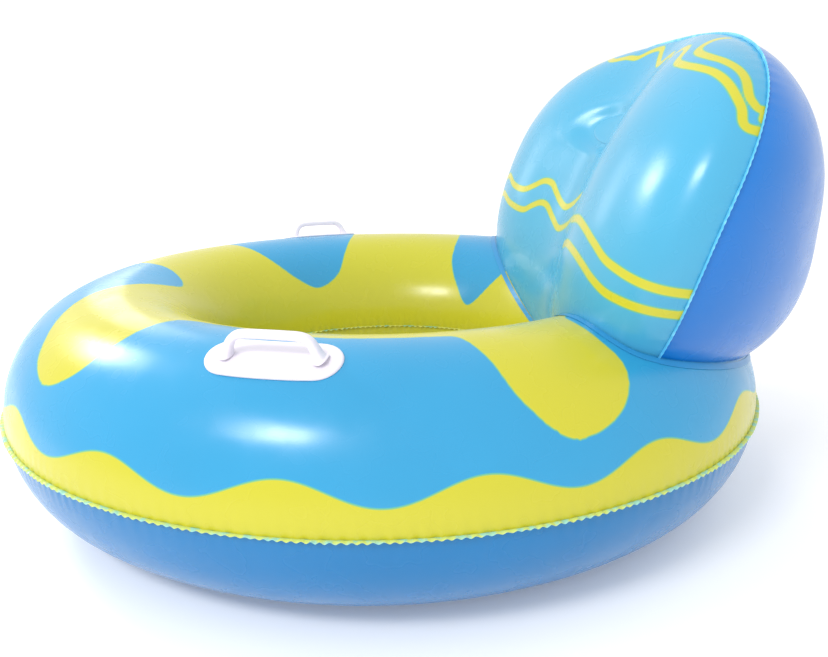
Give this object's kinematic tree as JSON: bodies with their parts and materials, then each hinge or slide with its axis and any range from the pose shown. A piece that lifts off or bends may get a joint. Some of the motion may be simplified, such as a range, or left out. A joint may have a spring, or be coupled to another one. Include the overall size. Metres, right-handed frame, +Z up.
{
  "type": "inflatable ring tube with backrest",
  "caption": "Oval inflatable water ring with an open seat hole, a reclined two-lobed air backrest, moulded grab handles and push-in valves.",
  "frame": {"origin": "on the plane the ring rests on, below the middle of the object's box", "axes": "+Z up, the front of the ring is -Y, the backrest stands at +Y, +X is the side with the near handle"},
  "size_m": [1.068, 1.207, 0.6665],
  "materials": {
    "upper_print_vinyl": "gloss",
    "lower_vinyl": "gloss",
    "ring_seam_vinyl": "gloss",
    "inner_seam_vinyl": "gloss",
    "front_print_vinyl": "gloss",
    "rear_vinyl": "gloss",
    "backrest_seam_vinyl": "gloss",
    "web_film": "gloss",
    "handle_vinyl": "satin",
    "valve_vinyl": "satin",
    "stem_vinyl": "satin",
    "flap_vinyl": "satin",
    "cap_vinyl": "satin"
  },
  "bodies": {
    "ring_and_backrest": {"ring_upper_panel": "upper_print_vinyl", "ring_lower_panel": "lower_vinyl", "ring_outer_seam": "ring_seam_vinyl", "ring_inner_seam": "inner_seam_vinyl", "backrest_front_panel": "front_print_vinyl", "backrest_rear_panel": "rear_vinyl", "backrest_seam": "backrest_seam_vinyl", "backrest_foot_weld": "backrest_seam_vinyl", "backrest_tie_web": "web_film", "valley_weld_disc": "backrest_seam_vinyl", "near_handle_patch": "handle_vinyl", "near_handle_grip": "handle_vinyl", "far_handle_patch": "handle_vinyl", "far_handle_grip": "handle_vinyl", "ring_valve_base": "valve_vinyl", "backrest_valve_base": "valve_vinyl"},
    "ring_valve_stem": {"ring_valve_stem": "stem_vinyl"},
    "ring_valve_cap": {"ring_valve_cap": "cap_vinyl", "ring_valve_tether": "cap_vinyl"},
    "ring_valve_flap": {"ring_valve_flap": "flap_vinyl"},
    "backrest_valve_stem": {"backrest_valve_stem": "stem_vinyl"},
    "backrest_valve_cap": {"backrest_valve_cap": "cap_vinyl", "backrest_valve_tether": "cap_vinyl"},
    "backrest_valve_flap": {"backrest_valve_flap": "flap_vinyl"}
  },
  "joints": [
    {"name": "ring_valve_pull", "type": "slide", "parent": "ring_and_backrest", "child": "ring_valve_stem", "axis": [-0.826, -0.0704, 0.5592], "range_m": [0, 0.0118]},
    {"name": "ring_valve_cap_hinge", "type": "hinge", "parent": "ring_valve_stem", "child": "ring_valve_cap", "pos_m": [-0.51023, -0.07449, 0.233], "axis": [0.085, -0.9964, 0], "range_deg": [0, 150]},
    {"name": "ring_valve_flap_hinge", "type": "hinge", "parent": "ring_valve_stem", "child": "ring_valve_flap", "pos_m": [-0.4821, -0.0721, 0.22264], "axis": [-0.085, 0.9964, 0], "range_deg": [0, 60], "stiffness_Nm_per_rad": 0.0005},
    {"name": "backrest_valve_pull", "type": "slide", "parent": "ring_and_backrest", "child": "backrest_valve_stem", "axis": [-0.5814, 0.8092, -0.0847], "range_m": [0, 0.0118]},
    {"name": "backrest_valve_cap_hinge", "type": "hinge", "parent": "backrest_valve_stem", "child": "backrest_valve_cap", "pos_m": [-0.24125, 0.54602, 0.36336], "axis": [0.0494, -0.0688, -0.9964], "range_deg": [0, 150]},
    {"name": "backrest_valve_flap_hinge", "type": "hinge", "parent": "backrest_valve_stem", "child": "backrest_valve_flap", "pos_m": [-0.23012, 0.51819, 0.36583], "axis": [-0.0494, 0.0688, 0.9964], "range_deg": [0, 60], "stiffness_Nm_per_rad": 0.0005}
  ]
}
